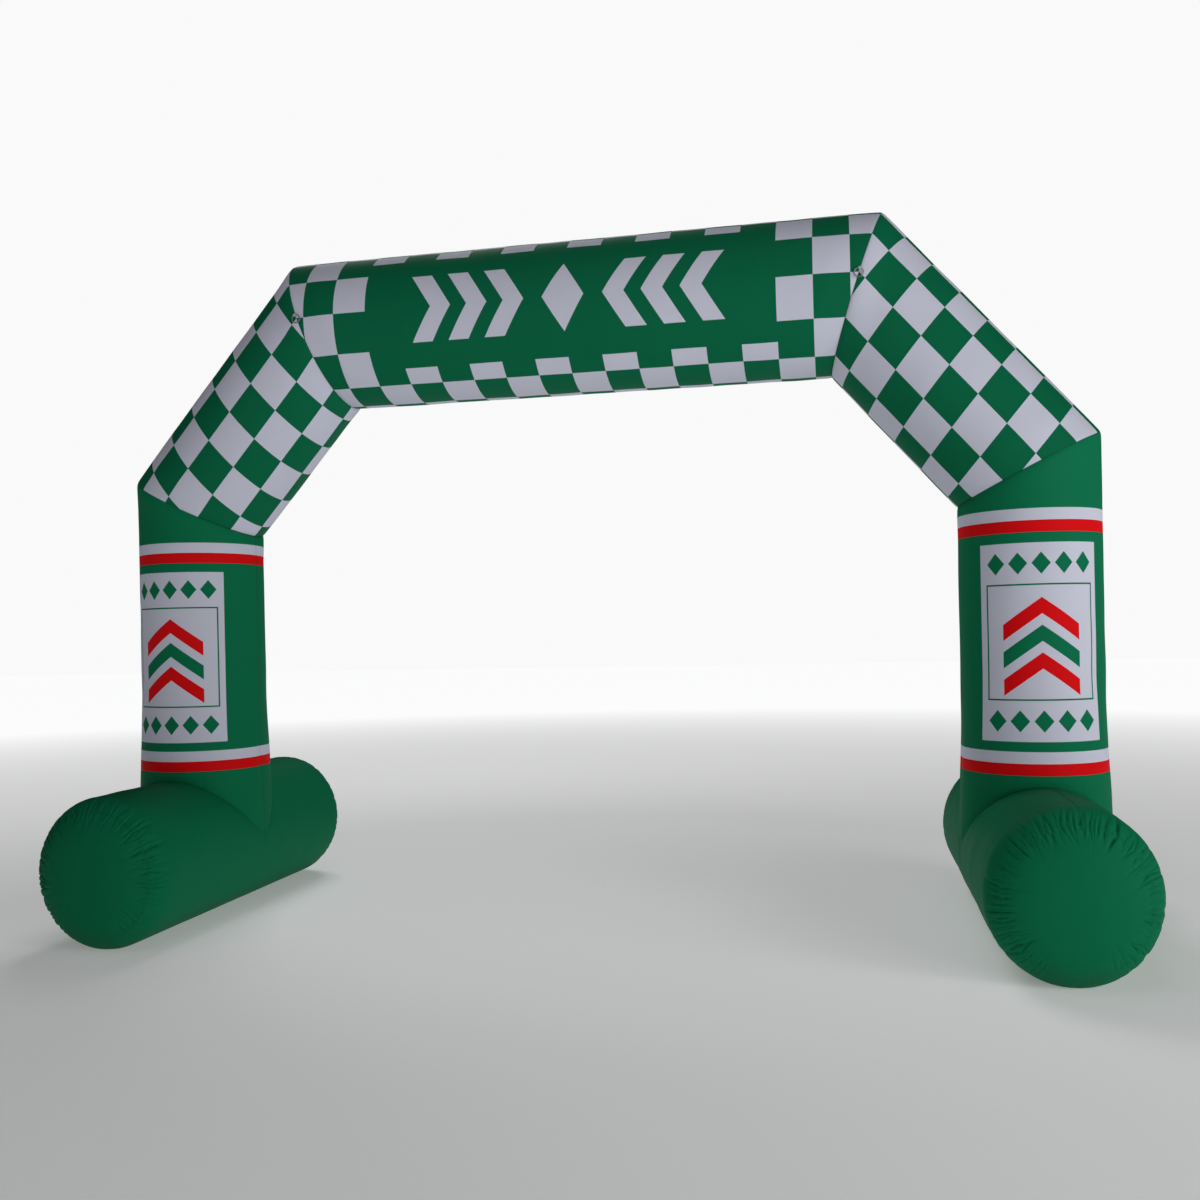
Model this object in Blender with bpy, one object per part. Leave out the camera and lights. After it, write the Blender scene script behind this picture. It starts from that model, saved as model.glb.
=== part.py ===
"""Inflatable start and finish arch, built as the air-filled sections that its maker sews together.

Frame: origin at the centre of the footprint on the floor, +X along the beam, -Y the front, +Z up.
A level beam, two slanted tubes, two upright legs and two foot tubes meet at flat mitre seams and at
two saddle seams. Every section is a closed solid with its ends drawn in slightly at the seams.
"""

import math

import bmesh
import bpy
from mathutils import Vector

# Driving dimensions, in metres and degrees.
BEAM_RADIUS = 0.460
DIAGONAL_RADIUS = 0.420
LEG_RADIUS = 0.390
LEG_FOOT_RADIUS = 0.413
FOOT_HALF_WIDTH = 0.416
FOOT_HALF_HEIGHT = 0.440
BEAM_CORNER_X = 1.676
BEAM_AXIS_Z = 3.700
LEG_AXIS_X = 2.610
LEG_CORNER_Z = 2.627
FOOT_HALF_LENGTH = 1.262
FLOOR_PATCH_HALF_WIDTH = 0.090
SEAM_GAP = 0.0004
SEAM_PINCH = 0.010
# Distance from a seam, share of the seam's draw-in there, share of the step between two girths.
SEAM_STEPS = (
    (0.0, 1.0, 1.0),
    (0.012, 0.45, 0.98),
    (0.034, 0.12, 0.88),
    (0.075, 0.0, 0.60),
    (0.130, 0.0, 0.22),
    (0.200, 0.0, 0.0),
)
# Height above the saddle seam, share of the leg's widening there.
LEG_FLARE_STEPS = (
    (0.0, 1.0),
    (0.05, 0.96),
    (0.14, 0.80),
    (0.26, 0.52),
    (0.40, 0.22),
    (0.60, 0.0),
)
TUBE_SEGMENTS = 48
FOOT_SIDE_SEGMENTS = 12
# A foot's end rounds off over END_DEPTH. The cap's seam is where CAP_SHARE of the girth is left.
END_DEPTH = 0.205
END_SQUARENESS = 2.3
END_SHARES = (1.0, 0.997, 0.985, 0.960, 0.920, 0.880, 0.845)
CAP_SHARE = 0.830
CAP_SEAM_DRAW = 0.004
CAP_SHARES = (0.830, 0.815, 0.780, 0.720, 0.640, 0.520, 0.360, 0.180)
CAP_CREASES = 44
CAP_CREASE_DEPTH = 0.007
CAP_CREASE_START = 0.600
RING_RADIUS = 0.0250
RING_WIRE_RADIUS = 0.0032
RING_SEGMENTS = 32
RING_WIRE_SEGMENTS = 10
RING_DROP = 0.0006
TAB_WIDTH = 0.016
TAB_THICKNESS = 0.0024
TAB_REACH = 0.016
TAB_CLEARANCE = 0.0024
TAB_ROOT_LENGTH = 0.030
TAB_BEND_SEGMENTS = 12
TAB_BEND_DEGREES = 300.0
TAB_ROOT_DEPTH = 0.0050

# Lengths worked out from the dimensions above.
FOOT_AXIS_Z = FOOT_HALF_HEIGHT * math.sqrt(1.0 - (FLOOR_PATCH_HALF_WIDTH / FOOT_HALF_WIDTH) ** 2)
FRONT = Vector((0.0, -1.0, 0.0))
UP = Vector((0.0, 0.0, 1.0))


def clear_scene():
    """Removes every object of the start-up scene."""
    for item in list(bpy.data.objects):
        bpy.data.objects.remove(item, do_unlink=True)


def make_material(name, colour, roughness, metallic=0.0):
    """Returns a Principled material with the given base colour, roughness and metallic value."""
    material = bpy.data.materials.new(name)
    material.use_nodes = True
    shader = material.node_tree.nodes["Principled BSDF"]
    shader.inputs["Base Color"].default_value = (*colour, 1.0)
    shader.inputs["Roughness"].default_value = roughness
    shader.inputs["Metallic"].default_value = metallic
    material.diffuse_color = (*colour, 1.0)
    return material


def finish_object(name, mesh_data, material, smooth_angle=40.0):
    """Turns a bmesh into a named object with one material and smooth round faces."""
    bmesh.ops.recalc_face_normals(mesh_data, faces=mesh_data.faces)
    limit = math.radians(smooth_angle)
    for face in mesh_data.faces:
        face.smooth = True
    for edge in mesh_data.edges:
        edge.smooth = len(edge.link_faces) == 2 and edge.calc_face_angle() < limit
    mesh = bpy.data.meshes.new(name)
    mesh_data.to_mesh(mesh)
    mesh_data.free()
    mesh.materials.append(material)
    item = bpy.data.objects.new(name, mesh)
    bpy.context.collection.objects.link(item)
    return item


def skin_rings(mesh_data, rings):
    """Joins rings of equal length with quads and returns the vertex rows."""
    rows = [[mesh_data.verts.new(point) for point in ring] for ring in rings]
    count = len(rows[0])
    for first, second in zip(rows, rows[1:]):
        for i in range(count):
            j = (i + 1) % count
            mesh_data.faces.new((first[i], first[j], second[j], second[i]))
    return rows


def ring_angles():
    """Returns the angles of a tube's generators, from the front upwards."""
    return [2.0 * math.pi * i / TUBE_SEGMENTS for i in range(TUBE_SEGMENTS)]


def radial(angle, outward):
    """Returns the unit vector at an angle from the front towards the outward direction."""
    return FRONT * math.cos(angle) + outward * math.sin(angle)


def cut_generator(corner, axis, normal, radius, angle, outward):
    """Returns where a cylinder's generator meets the seam plane through a corner."""
    base = corner + radial(angle, outward) * radius
    return base - axis * ((base - corner).dot(normal) / axis.dot(normal))


def seam_normal(corner, first, second):
    """Returns the normal of the flat seam between two round tubes that meet at a corner.

    Each tube is its axis, its outward direction and its radius. The seam holds the corner and the
    line across it, and runs through the outer point where the two outlines cross, so both tubes
    are cut to ovals of the same height there even where their girths differ.
    """
    axis_a, out_a, radius_a = first
    axis_b, out_b, radius_b = second
    gap = out_b * radius_b - out_a * radius_a
    det = axis_a.x * -axis_b.z + axis_b.x * axis_a.z
    along = (gap.x * -axis_b.z + axis_b.x * gap.z) / det
    rise = out_a * radius_a + axis_a * along
    normal = Vector((-rise.z, 0.0, rise.x)).normalized()
    return normal if normal.dot(axis_a) > 0.0 else -normal


def side_directions(side):
    """Returns the corners, tubes and seam planes of one half of the arch, for side 1 or -1.

    A tube is its axis, its outward direction and its radius.
    """
    top = Vector((side * BEAM_CORNER_X, 0.0, BEAM_AXIS_Z))
    low = Vector((side * LEG_AXIS_X, 0.0, LEG_CORNER_Z))
    slope = (low - top).normalized()
    beam = (Vector((side * 1.0, 0.0, 0.0)), UP, BEAM_RADIUS)
    diagonal = (slope, Vector((-slope.z * side, 0.0, slope.x * side)), DIAGONAL_RADIUS)
    leg = (-UP, Vector((side * 1.0, 0.0, 0.0)), LEG_RADIUS)
    return {
        "top": top,
        "low": low,
        "beam": beam,
        "diagonal": diagonal,
        "leg": leg,
        "top_normal": seam_normal(top, beam, diagonal),
        "low_normal": seam_normal(low, diagonal, leg),
    }


def seam_rings(corner, normal, tube, neighbour_radius, inward):
    """Returns the rings of a tube near one seam, from the seam inwards.

    At the seam the tube has the mean width of itself and its neighbour, less the draw-in.
    inward is 1 where the tube's axis leads away from the seam and -1 where it leads into it.
    """
    axis, out, radius = tube
    widen = (neighbour_radius - radius) / 2.0
    rings = []
    for offset, pinch, blend in SEAM_STEPS:
        ring = []
        for angle in ring_angles():
            point = cut_generator(corner, axis, normal, radius, angle, out)
            point += FRONT * (widen * blend * math.cos(angle))
            point += (corner - point) * (SEAM_PINCH * pinch / radius)
            ring.append(point + axis * (inward * (offset + SEAM_GAP / 2.0)))
        rings.append(ring)
    return rings


def build_beam(material):
    """Builds the level beam between the two upper seams."""
    left = side_directions(-1)
    right = side_directions(1)
    start = seam_rings(left["top"], left["top_normal"], left["beam"], DIAGONAL_RADIUS, -1)
    end = seam_rings(right["top"], right["top_normal"], right["beam"], DIAGONAL_RADIUS, -1)
    mesh_data = bmesh.new()
    rows = skin_rings(mesh_data, start + end[::-1])
    mesh_data.faces.new(rows[0])
    mesh_data.faces.new(rows[-1])
    return finish_object("beam", mesh_data, material)


def build_diagonal(side, name, material):
    """Builds a slanted tube between the beam's seam and the leg's seam."""
    half = side_directions(side)
    start = seam_rings(half["top"], half["top_normal"], half["diagonal"], BEAM_RADIUS, 1)
    end = seam_rings(half["low"], half["low_normal"], half["diagonal"], LEG_RADIUS, -1)
    mesh_data = bmesh.new()
    rows = skin_rings(mesh_data, start + end[::-1])
    mesh_data.faces.new(rows[0])
    mesh_data.faces.new(rows[-1])
    return finish_object(name, mesh_data, material)


def foot_rise(offset_x, slack=0.0):
    """Returns how far above its axis a foot's oval is beside the axis, grown all round by slack."""
    share = offset_x / (FOOT_HALF_WIDTH + slack)
    return (FOOT_HALF_HEIGHT + slack) * math.sqrt(1.0 - share * share)


def build_leg(side, name, material):
    """Builds an upright leg from its upper seam down to the saddle seam on the foot.

    The leg widens slightly on its way to the foot.
    """
    half = side_directions(side)
    top_rows = seam_rings(half["low"], half["low_normal"], half["leg"], DIAGONAL_RADIUS, 1)
    axis, out, radius = half["leg"]
    low_rows = []
    for offset, share in LEG_FLARE_STEPS:
        ring_radius = radius + (LEG_FOOT_RADIUS - radius) * share
        ring = []
        for angle in ring_angles():
            seam_x = LEG_FOOT_RADIUS * math.sin(angle)
            height = FOOT_AXIS_Z + foot_rise(seam_x, SEAM_GAP) + offset
            ring.append(Vector((side * LEG_AXIS_X, 0.0, height)) + radial(angle, out) * ring_radius)
        low_rows.append(ring)
    mesh_data = bmesh.new()
    rows = skin_rings(mesh_data, top_rows + low_rows[::-1])
    mesh_data.faces.new(rows[0])
    bottom = rows[-1]
    quarter = TUBE_SEGMENTS // 4
    half_turn = TUBE_SEGMENTS // 2
    for i in range(-quarter, quarter):
        front_a = bottom[i % TUBE_SEGMENTS]
        front_b = bottom[(i + 1) % TUBE_SEGMENTS]
        back_a = bottom[(half_turn - i) % TUBE_SEGMENTS]
        back_b = bottom[(half_turn - i - 1) % TUBE_SEGMENTS]
        corners = [front_a, front_b, back_b, back_a]
        unique = [v for k, v in enumerate(corners) if v not in corners[:k]]
        mesh_data.faces.new(unique)
    return finish_object(name, mesh_data, material)


def foot_outline():
    """Returns the foot's cross-section about its axis as (x, z) pairs, flat along the floor.

    Across the top the points stand at the same x as the leg's seam points, so that the two
    facing surfaces of the saddle seam run side by side.
    """
    quarter = TUBE_SEGMENTS // 4
    tops = []
    for i in range(-quarter, quarter + 1):
        x = LEG_FOOT_RADIUS * math.sin(2.0 * math.pi * i / TUBE_SEGMENTS)
        tops.append((x, foot_rise(x)))
    last = math.acos(LEG_FOOT_RADIUS / FOOT_HALF_WIDTH)
    floor = -math.acos(FLOOR_PATCH_HALF_WIDTH / FOOT_HALF_WIDTH)
    right = []
    for i in range(1, FOOT_SIDE_SEGMENTS + 1):
        angle = last + (floor - last) * i / FOOT_SIDE_SEGMENTS
        right.append((FOOT_HALF_WIDTH * math.cos(angle), FOOT_HALF_HEIGHT * math.sin(angle)))
    left = [(-x, z) for x, z in reversed(right)]
    return tops + right + left


def foot_ring(side, scale, y):
    """Returns the foot's outline scaled about its axis, at the given depth."""
    centre = Vector((side * LEG_AXIS_X, y, FOOT_AXIS_Z))
    return [centre + Vector((x * scale, 0.0, z * scale)) for x, z in foot_outline()]


def end_depth(share):
    """Returns how far from the middle a foot's rounded end has the given share of its girth."""
    bulge = (1.0 - share**END_SQUARENESS) ** (1.0 / END_SQUARENESS)
    return FOOT_HALF_LENGTH - END_DEPTH * (1.0 - bulge)


def build_foot(side, name, material):
    """Builds a foot tube lying from front to back, flat where it rests on the floor.

    Both ends round off to the seams of their caps.
    """
    stations = [(end_depth(share), share) for share in END_SHARES]
    seam_share = CAP_SHARE - CAP_SEAM_DRAW / FOOT_HALF_WIDTH
    stations.append((end_depth(CAP_SHARE) - SEAM_GAP / 2.0, seam_share))
    rings = [foot_ring(side, share, -y) for y, share in reversed(stations)]
    rings += [foot_ring(side, share, y) for y, share in stations]
    mesh_data = bmesh.new()
    rows = skin_rings(mesh_data, rings)
    mesh_data.faces.new(rows[0])
    mesh_data.faces.new(rows[-1])
    return finish_object(name, mesh_data, material)


def outline_at(points, angle):
    """Returns the radius of a star-shaped outline in one direction from its centre."""
    direction = (math.cos(angle), math.sin(angle))
    count = len(points)
    for i in range(count):
        ax, az = points[i]
        bx, bz = points[(i + 1) % count]
        ex, ez = bx - ax, bz - az
        det = direction[1] * ex - direction[0] * ez
        if abs(det) < 1e-12:
            continue
        along = (ez * -ax + ex * az) / det
        share = (direction[0] * az - direction[1] * ax) / det
        if along > 0.0 and -1e-9 <= share <= 1.0 + 1e-9:
            return along
    return FOOT_HALF_WIDTH


def build_end_cap(side, depth_sign, name, material):
    """Builds a gathered, domed end of a foot, with creases that fade towards its middle."""
    outline = foot_outline()
    count = CAP_CREASES * 2
    rings = []
    for share in CAP_SHARES:
        ring = []
        fade = max(0.0, (share - CAP_CREASE_START) / (CAP_SHARE - CAP_CREASE_START))
        hollow = 4.0 * fade * (1.0 - fade)
        for i in range(count):
            angle = 2.0 * math.pi * (i + 0.5) / count
            radius = outline_at(outline, angle) * share
            y = end_depth(share) + SEAM_GAP / 2.0
            if i % 2:
                radius -= CAP_CREASE_DEPTH * fade
                y -= CAP_CREASE_DEPTH * hollow
            if share == CAP_SHARE:
                radius -= CAP_SEAM_DRAW
            ring.append(
                Vector(
                    (
                        side * LEG_AXIS_X + radius * math.cos(angle),
                        depth_sign * y,
                        FOOT_AXIS_Z + radius * math.sin(angle),
                    )
                )
            )
        rings.append(ring)
    mesh_data = bmesh.new()
    rows = skin_rings(mesh_data, rings)
    mesh_data.faces.new(rows[0])
    tip = mesh_data.verts.new(
        Vector((side * LEG_AXIS_X, depth_sign * FOOT_HALF_LENGTH, FOOT_AXIS_Z))
    )
    last = rows[-1]
    for i in range(count):
        mesh_data.faces.new((last[i], last[(i + 1) % count], tip))
    return finish_object(name, mesh_data, material, 60.0)


def tab_frame(side):
    """Returns the place on the upper seam's front where a tether tab stands, and its directions.

    The tab stands on the middle of the seam's first flat face above the beam's axis. The
    directions are out of the seam, down along it and across it.
    """
    half = side_directions(side)
    axis, up, radius = half["beam"]
    widen = (DIAGONAL_RADIUS - radius) / 2.0
    points = []
    for angle in ring_angles()[:2]:
        point = cut_generator(half["top"], axis, half["top_normal"], radius, angle, up)
        points.append(point + FRONT * (widen * math.cos(angle)))
    across = half["top_normal"]
    down = (points[0] - points[1]).normalized()
    out = across.cross(down)
    if out.dot(FRONT) < 0.0:
        out = -out
    place = (points[0] + points[1]) / 2.0 - out * TAB_ROOT_DEPTH
    return place, out, down, across


def build_tab(side, name, material):
    """Builds a folded webbing loop: a sewn root on the seam and a round eye that holds the ring."""
    place, out_way, down_way, across = tab_frame(side)
    inner = RING_WIRE_RADIUS + TAB_CLEARANCE
    outer = inner + TAB_THICKNESS
    root = TAB_ROOT_LENGTH / 2.0
    bend = []
    for i in range(TAB_BEND_SEGMENTS + 1):
        angle = math.radians(TAB_BEND_DEGREES * (i / TAB_BEND_SEGMENTS - 0.5))
        bend.append((TAB_REACH + outer * math.cos(angle), outer * math.sin(angle)))
    shape = [(0.0, -root), (TAB_THICKNESS, -root), (TAB_THICKNESS, -TAB_THICKNESS)]
    shape += bend
    shape += [(TAB_THICKNESS, TAB_THICKNESS), (TAB_THICKNESS, root), (0.0, root)]
    eye = []
    for i in range(2 * TAB_BEND_SEGMENTS):
        angle = math.pi * i / TAB_BEND_SEGMENTS
        eye.append((TAB_REACH + inner * math.cos(angle), inner * math.sin(angle)))
    mesh_data = bmesh.new()
    layers = []
    for shift in (-TAB_WIDTH / 2.0, TAB_WIDTH / 2.0):
        start = place + across * shift
        rim = [mesh_data.verts.new(start + out_way * o + down_way * d) for o, d in shape]
        hole = [mesh_data.verts.new(start + out_way * o + down_way * d) for o, d in eye]
        edges = []
        for loop in (rim, hole):
            for i, vert in enumerate(loop):
                edges.append(mesh_data.edges.new((vert, loop[(i + 1) % len(loop)])))
        bmesh.ops.triangle_fill(mesh_data, use_beauty=True, edges=edges)
        layers.append((rim, hole))
    for first, second in zip(layers[0], layers[1]):
        for i in range(len(first)):
            j = (i + 1) % len(first)
            mesh_data.faces.new((first[i], first[j], second[j], second[i]))
    return finish_object(name, mesh_data, material)


def build_ring(side, name, material):
    """Builds the round steel ring that hangs in a tether tab's eye."""
    place, out_way, down_way, across = tab_frame(side)
    centre = place + out_way * TAB_REACH + down_way * (RING_RADIUS + RING_DROP)
    mesh_data = bmesh.new()
    rings = []
    for i in range(RING_SEGMENTS):
        angle = 2.0 * math.pi * i / RING_SEGMENTS
        out = across * math.sin(angle) - down_way * math.cos(angle)
        ring = []
        for j in range(RING_WIRE_SEGMENTS):
            turn = 2.0 * math.pi * j / RING_WIRE_SEGMENTS
            wire = out * math.cos(turn) + out_way * math.sin(turn)
            ring.append(centre + out * RING_RADIUS + wire * RING_WIRE_RADIUS)
        rings.append(ring)
    rows = skin_rings(mesh_data, rings)
    for j in range(RING_WIRE_SEGMENTS):
        k = (j + 1) % RING_WIRE_SEGMENTS
        mesh_data.faces.new((rows[-1][j], rows[-1][k], rows[0][k], rows[0][j]))
    return finish_object(name, mesh_data, material, 80.0)


def main():
    """Builds every section of the arch."""
    clear_scene()
    green = (0.003, 0.100, 0.042)
    build_beam(make_material("beam_cloth", (0.010, 0.130, 0.062), 0.42))
    for side, label in ((-1, "left"), (1, "right")):
        cloth = make_material("diagonal_cloth_" + label, (0.010, 0.130, 0.062), 0.42)
        build_diagonal(side, "diagonal_" + label, cloth)
        cloth = make_material("leg_cloth_" + label, green, 0.42)
        build_leg(side, "leg_" + label, cloth)
        cloth = make_material("foot_cloth_" + label, green, 0.45)
        build_foot(side, "foot_" + label, cloth)
        for sign, place in ((-1, "front"), (1, "back")):
            name = "end_cap_" + label + "_" + place
            cloth = make_material(name + "_cloth", green, 0.48)
            build_end_cap(side, sign, name, cloth)
        webbing = make_material("tab_webbing_" + label, (0.62, 0.62, 0.64), 0.80)
        build_tab(side, "tether_tab_" + label, webbing)
        steel = make_material("ring_steel_" + label, (0.40, 0.41, 0.42), 0.30, 1.0)
        build_ring(side, "tether_ring_" + label, steel)


main()
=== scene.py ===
"""Inflatable start and finish arch: dressed cloth sections, printed pattern, tether rings, studio.

Frame: metres, origin on the floor at the middle of the footprint, +X along the beam, -Y the
front, +Z up. Every cloth section is cut as a flat gridded panel, rolled into its tube or dome
and sewn along its own edges, so its UV map "cloth" is the flat cut in metres. A second map,
"seam", gives the run along the nearest sewn seam and the distance from it.
"""

import logging
import math
from dataclasses import dataclass, replace
from enum import Enum

import bpy
import numpy as np
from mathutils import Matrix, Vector


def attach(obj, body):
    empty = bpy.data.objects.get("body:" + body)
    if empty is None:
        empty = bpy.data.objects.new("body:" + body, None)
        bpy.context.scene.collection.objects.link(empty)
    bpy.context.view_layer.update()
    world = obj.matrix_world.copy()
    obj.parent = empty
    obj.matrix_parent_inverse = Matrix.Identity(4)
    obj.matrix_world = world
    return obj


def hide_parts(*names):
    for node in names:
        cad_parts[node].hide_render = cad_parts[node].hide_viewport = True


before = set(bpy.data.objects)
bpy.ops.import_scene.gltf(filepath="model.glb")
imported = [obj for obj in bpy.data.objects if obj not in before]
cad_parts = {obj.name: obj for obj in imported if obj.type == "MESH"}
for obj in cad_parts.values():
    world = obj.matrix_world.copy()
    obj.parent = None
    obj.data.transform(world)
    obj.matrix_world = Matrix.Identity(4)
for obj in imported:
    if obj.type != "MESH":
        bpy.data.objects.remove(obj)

LOG = logging.getLogger("arch")
ROOT_BODY = "root"
CLOTH_MAP = "cloth"
SEAM_MAP = "seam"
FRONT = np.array((0.0, -1.0, 0.0))
UP = np.array((0.0, 0.0, 1.0))
RIGHT = np.array((1.0, 0.0, 0.0))
FULL_TURN = 2.0 * math.pi
QUARTER_TURN = math.pi / 2.0

Colour = tuple[float, float, float]
Point = tuple[float, float, float]
Span = tuple[float, float]


class Labelled(Enum):
    """A choice whose name is a word of the node names."""

    @property
    def label(self) -> str:
        """Returns the word used in node names."""
        return self.name.lower()


class Side(Labelled):
    """The two halves of the arch, seen from the front."""

    LEFT = -1
    RIGHT = 1


class End(Labelled):
    """The two ends of a foot."""

    FRONT = -1
    BACK = 1


class Slot(Enum):
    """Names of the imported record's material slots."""

    PRINTED = "printed_cloth"
    GREEN = "green_cloth"


@dataclass(frozen=True)
class ArchSizes:
    """Driving dimensions of the arch, in metres, as its solids have them."""

    beam_radius: float = 0.460
    diagonal_radius: float = 0.420
    leg_radius: float = 0.390
    leg_foot_radius: float = 0.413
    leg_flare_height: float = 0.620
    foot_half_width: float = 0.416
    foot_half_height: float = 0.440
    beam_corner_x: float = 1.676
    beam_axis_z: float = 3.700
    leg_axis_x: float = 2.610
    leg_corner_z: float = 2.627
    foot_half_length: float = 1.262
    floor_patch_half_width: float = 0.090
    end_depth: float = 0.205
    end_squareness: float = 2.3
    cap_share: float = 0.830
    seam_gap: float = 0.0004
    seam_draw: float = 0.0045
    cap_draw: float = 0.0015
    saddle_draw: float = 0.006

    @property
    def foot_axis_z(self) -> float:
        """Returns the height of a foot's axis."""
        share = self.floor_patch_half_width / self.foot_half_width
        return self.foot_half_height * math.sqrt(1.0 - share**2)

    @property
    def foot_girth_radius(self) -> float:
        """Returns the mean radius of a foot's oval, which turns angles into lengths."""
        return (self.foot_half_width + self.foot_half_height) / 2.0

    def foot_rise(self, offset_x: np.ndarray, slack: float = 0.0) -> np.ndarray:
        """Returns how far a foot's oval, grown all round by slack, stands above its axis."""
        share = np.clip(offset_x / (self.foot_half_width + slack), -1.0, 1.0)
        return (self.foot_half_height + slack) * np.sqrt(1.0 - share**2)


SIZES = ArchSizes()


# ---- Relief of the cloth ----


def smooth_step(share: np.ndarray) -> np.ndarray:
    """Returns a soft step from 0 to 1 for shares from 0 to 1."""
    held = np.clip(share, 0.0, 1.0)
    return held * held * (3.0 - 2.0 * held)


def valley(offset: np.ndarray, width: np.ndarray) -> np.ndarray:
    """Returns the share of a soft valley's depth at an offset from its middle."""
    return np.exp(-((offset / width) ** 2))


@dataclass(frozen=True)
class Puckers:
    """Short creases that a sewn seam draws into the cloth beside it.

    Each crease is a soft valley across the seam, with its own place, width, length and depth
    from the spreads. It starts at the seam with mouth_share of its width, is widest at
    widest_at times its length and ends at ends_at times its length. gather_angle, where given,
    is the direction round the seam in which creases are deepest.
    """

    count: int
    width: float
    length: float
    depth: float
    seed: int
    gather_angle: float | None = None
    least_share: float = 1.0
    place_spread: Span = (-0.38, 0.38)
    width_spread: Span = (0.65, 1.5)
    length_spread: Span = (0.45, 1.35)
    depth_spread: Span = (0.35, 1.25)
    lean_spread: Span = (-0.25, 0.25)
    mouth_share: float = 0.55
    widest_at: float = 1.5
    ends_at: float = 1.6

    def relief(self, angle: np.ndarray, distance: np.ndarray, radius: float) -> np.ndarray:
        """Returns how far the cloth sinks at each place.

        Args:
            angle: Direction round the seam, in radians.
            distance: Distance from the seam, in metres.
            radius: Radius of the seam, which turns angles into lengths.

        Returns:
            Depths in metres, of the shape of the two arrays broadcast together.
        """
        draw = np.random.default_rng(self.seed)
        sunk = np.zeros(np.broadcast(angle, distance).shape)
        for index in range(self.count):
            place = FULL_TURN * (index + draw.uniform(*self.place_spread)) / self.count
            width = self.width * draw.uniform(*self.width_spread)
            length = self.length * draw.uniform(*self.length_spread)
            depth = self.depth * draw.uniform(*self.depth_spread)
            lean = draw.uniform(*self.lean_spread)
            if self.gather_angle is not None:
                facing = 0.5 + 0.5 * math.cos(place - self.gather_angle)
                depth *= self.least_share + (1.0 - self.least_share) * facing**2
            turn = angle - place + lean * distance / radius
            turn = (turn + math.pi) % FULL_TURN - math.pi
            opened = np.clip(distance / length, 0.0, self.widest_at)
            opened = self.mouth_share + (1.0 - self.mouth_share) * opened
            tail = smooth_step(1.0 - distance / (self.ends_at * length))
            sunk += depth * valley(turn * radius, width * opened) * tail
        return sunk


@dataclass(frozen=True)
class Undulation:
    """Long shallow unevenness of a blown-up tube."""

    height: float
    seed: int
    waves: int = 14
    most_lobes: int = 6
    wave_length: Span = (0.22, 1.1)
    strength: Span = (0.3, 1.0)

    def relief(self, angle: np.ndarray, along: np.ndarray) -> np.ndarray:
        """Returns how far the cloth stands out at each place.

        Args:
            angle: Direction round the tube, in radians.
            along: Distance along the tube, in metres.

        Returns:
            Heights in metres, positive outwards.
        """
        draw = np.random.default_rng(self.seed)
        total = np.zeros(np.broadcast(angle, along).shape)
        for _ in range(self.waves):
            lobes = int(draw.integers(0, self.most_lobes + 1))
            length = draw.uniform(*self.wave_length)
            turn, shift = draw.uniform(0.0, FULL_TURN, 2)
            wave = np.cos(lobes * angle + turn) * np.cos(FULL_TURN * along / length + shift)
            total += wave * self.height * draw.uniform(*self.strength) / math.sqrt(self.waves)
        return total


INNER_SIDE = -QUARTER_TURN
UPPER_PUCKERS = Puckers(46, 0.011, 0.060, 0.0036, 11, gather_angle=INNER_SIDE, least_share=0.12)
LOWER_PUCKERS = Puckers(40, 0.011, 0.050, 0.0028, 23, gather_angle=INNER_SIDE, least_share=0.10)
SADDLE_PUCKERS = Puckers(30, 0.014, 0.070, 0.0022, 37)
RIM_PUCKERS = Puckers(74, 0.0085, 0.115, 0.0078, 53)
RIM_FINE_PUCKERS = Puckers(150, 0.0052, 0.080, 0.0046, 71)


# ---- Panels and lines of the arch ----


@dataclass(frozen=True)
class SeamRows:
    """The rows of a panel beside a seam, whose steps grow evenly over their reach."""

    reach: float
    first_step: float
    last_step: float

    def stops(self) -> np.ndarray:
        """Returns the rows' distances from the seam, from 0 to the reach."""
        count = max(2, round(2.0 * self.reach / (self.first_step + self.last_step)))
        steps = np.linspace(self.first_step, self.last_step, count)
        places = np.concatenate(((0.0,), np.cumsum(steps)))
        return places * (self.reach / places[-1])


TUBE_ROWS = SeamRows(0.21, 0.0045, 0.016)
TUBE_STEP = 0.026


def rows_between_seams(length: np.ndarray) -> np.ndarray:
    """Returns the rows of a tube's panel, which stand closest beside its two seams.

    Args:
        length: The length of each generator from seam to seam.

    Returns:
        Distances from the first seam, a row for each station.
    """
    near = TUBE_ROWS.stops()[:, None]
    span = length - 2.0 * TUBE_ROWS.reach
    count = max(3, round(float(span.mean()) / TUBE_STEP))
    shares = np.linspace(0.0, 1.0, count)[1:-1, None]
    first = np.broadcast_to(near, (near.size, length.size))
    return np.concatenate((first, TUBE_ROWS.reach + span * shares, length - near[::-1]))


@dataclass
class ClothSurface:
    """A rolled panel: rows run along the tube or dome, columns go once round it.

    places holds the points, cloth their places on the flat cut, and seam the run along the
    nearest seam and the distance from it, all in metres.
    """

    places: np.ndarray
    cloth: np.ndarray
    seam: np.ndarray

    def closed(self, first: np.ndarray, last: np.ndarray | None = None) -> "ClothSurface":
        """Returns the panel with rows that close its ends inside the arch.

        Args:
            first: Where the row before the first one comes together.
            last: Where the row after the last one does, unless the panel ends in a tip.

        Returns:
            The closed panel.
        """
        layers = (self.places, self.cloth, self.seam)
        heads = (first, self.cloth[0], self.seam[0])
        layers = [np.insert(layer, 0, head, axis=0) for layer, head in zip(layers, heads)]
        if last is not None:
            tails = (last, self.cloth[-1], self.seam[-1])
            layers = [np.insert(a, len(a), tail, axis=0) for a, tail in zip(layers, tails)]
        return ClothSurface(*layers)


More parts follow.
